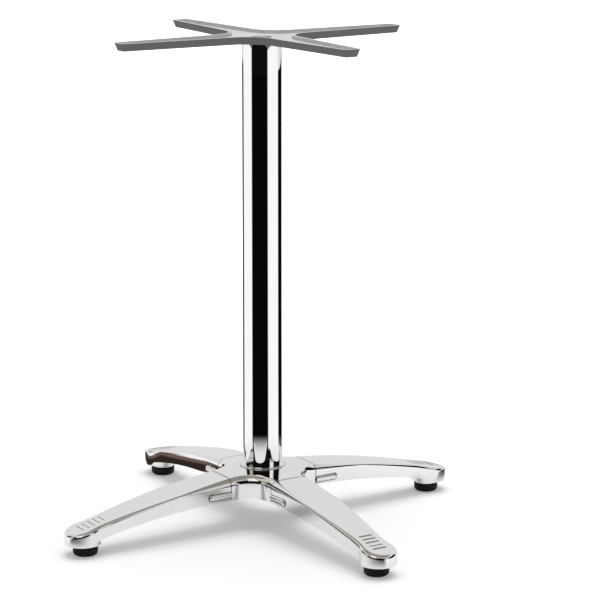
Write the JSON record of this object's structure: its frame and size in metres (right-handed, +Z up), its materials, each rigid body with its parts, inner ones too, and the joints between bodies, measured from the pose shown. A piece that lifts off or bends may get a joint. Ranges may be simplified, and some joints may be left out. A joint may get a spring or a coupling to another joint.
{
  "type": "four star table base",
  "caption": "Pedestal base for a table: polished cast legs around a hub, a round chromed column, a cast cross plate on top and levelling glides below.",
  "frame": {"origin": "on the floor, on the column's axis", "axes": "+Z up along the column, one leg along +X and one along +Y"},
  "size_m": [0.652, 0.652, 0.72],
  "materials": {
    "polished_aluminium": "cast, machined and mirror polished",
    "bright_chrome": "bright chrome plate on steel",
    "cast_aluminium": "as cast, lightly blasted",
    "zinc_steel": "zinc plated steel",
    "black_foot": "black moulded plastic"
  },
  "bodies": {
    "root": {"top_spider": "cast_aluminium", "column_tube": "bright_chrome", "base_hub": "polished_aluminium", "tie_rod": "zinc_steel", "tie_nut_top": "zinc_steel", "tie_washer_top": "zinc_steel", "tie_nut_bottom": "zinc_steel", "tie_washer_bottom": "zinc_steel", "leg_bolts": "zinc_steel", "leg_bolt_washers": "zinc_steel", "leg_1": "polished_aluminium", "leg_2": "polished_aluminium", "leg_3": "polished_aluminium", "leg_4": "polished_aluminium"},
    "glide_foot_1": {"glide_pad_1": "black_foot"},
    "glide_screw_1": {"glide_stud_1": "zinc_steel", "glide_disc_1": "bright_chrome"},
    "glide_foot_2": {"glide_pad_2": "black_foot"},
    "glide_screw_2": {"glide_stud_2": "zinc_steel", "glide_disc_2": "bright_chrome"},
    "glide_foot_3": {"glide_pad_3": "black_foot"},
    "glide_screw_3": {"glide_stud_3": "zinc_steel", "glide_disc_3": "bright_chrome"},
    "glide_foot_4": {"glide_pad_4": "black_foot"},
    "glide_screw_4": {"glide_stud_4": "zinc_steel", "glide_disc_4": "bright_chrome"}
  },
  "joints": [
    {"name": "glide_travel_1", "type": "slide", "parent": "root", "child": "glide_foot_1", "axis": [0, 0, -1], "range_m": [0, 0.008]},
    {"name": "glide_turn_1", "type": "hinge", "parent": "glide_foot_1", "child": "glide_screw_1", "pos_m": [0.296, 0, 0], "axis": [0, 0, -1], "range_deg": [0, 1920]},
    {"name": "glide_travel_2", "type": "slide", "parent": "root", "child": "glide_foot_2", "axis": [0, 0, -1], "range_m": [0, 0.008]},
    {"name": "glide_turn_2", "type": "hinge", "parent": "glide_foot_2", "child": "glide_screw_2", "pos_m": [0, 0.296, 0], "axis": [0, 0, -1], "range_deg": [0, 1920]},
    {"name": "glide_travel_3", "type": "slide", "parent": "root", "child": "glide_foot_3", "axis": [0, 0, -1], "range_m": [0, 0.008]},
    {"name": "glide_turn_3", "type": "hinge", "parent": "glide_foot_3", "child": "glide_screw_3", "pos_m": [-0.296, 0, 0], "axis": [0, 0, -1], "range_deg": [0, 1920]},
    {"name": "glide_travel_4", "type": "slide", "parent": "root", "child": "glide_foot_4", "axis": [0, 0, -1], "range_m": [0, 0.008]},
    {"name": "glide_turn_4", "type": "hinge", "parent": "glide_foot_4", "child": "glide_screw_4", "pos_m": [0, -0.296, 0], "axis": [0, 0, -1], "range_deg": [0, 1920]}
  ],
  "couplings": [
    {"joint": "glide_turn_1", "follows": "glide_travel_1", "rad_per_m": 4188.8},
    {"joint": "glide_turn_2", "follows": "glide_travel_2", "rad_per_m": 4188.8},
    {"joint": "glide_turn_3", "follows": "glide_travel_3", "rad_per_m": 4188.8},
    {"joint": "glide_turn_4", "follows": "glide_travel_4", "rad_per_m": 4188.8}
  ]
}
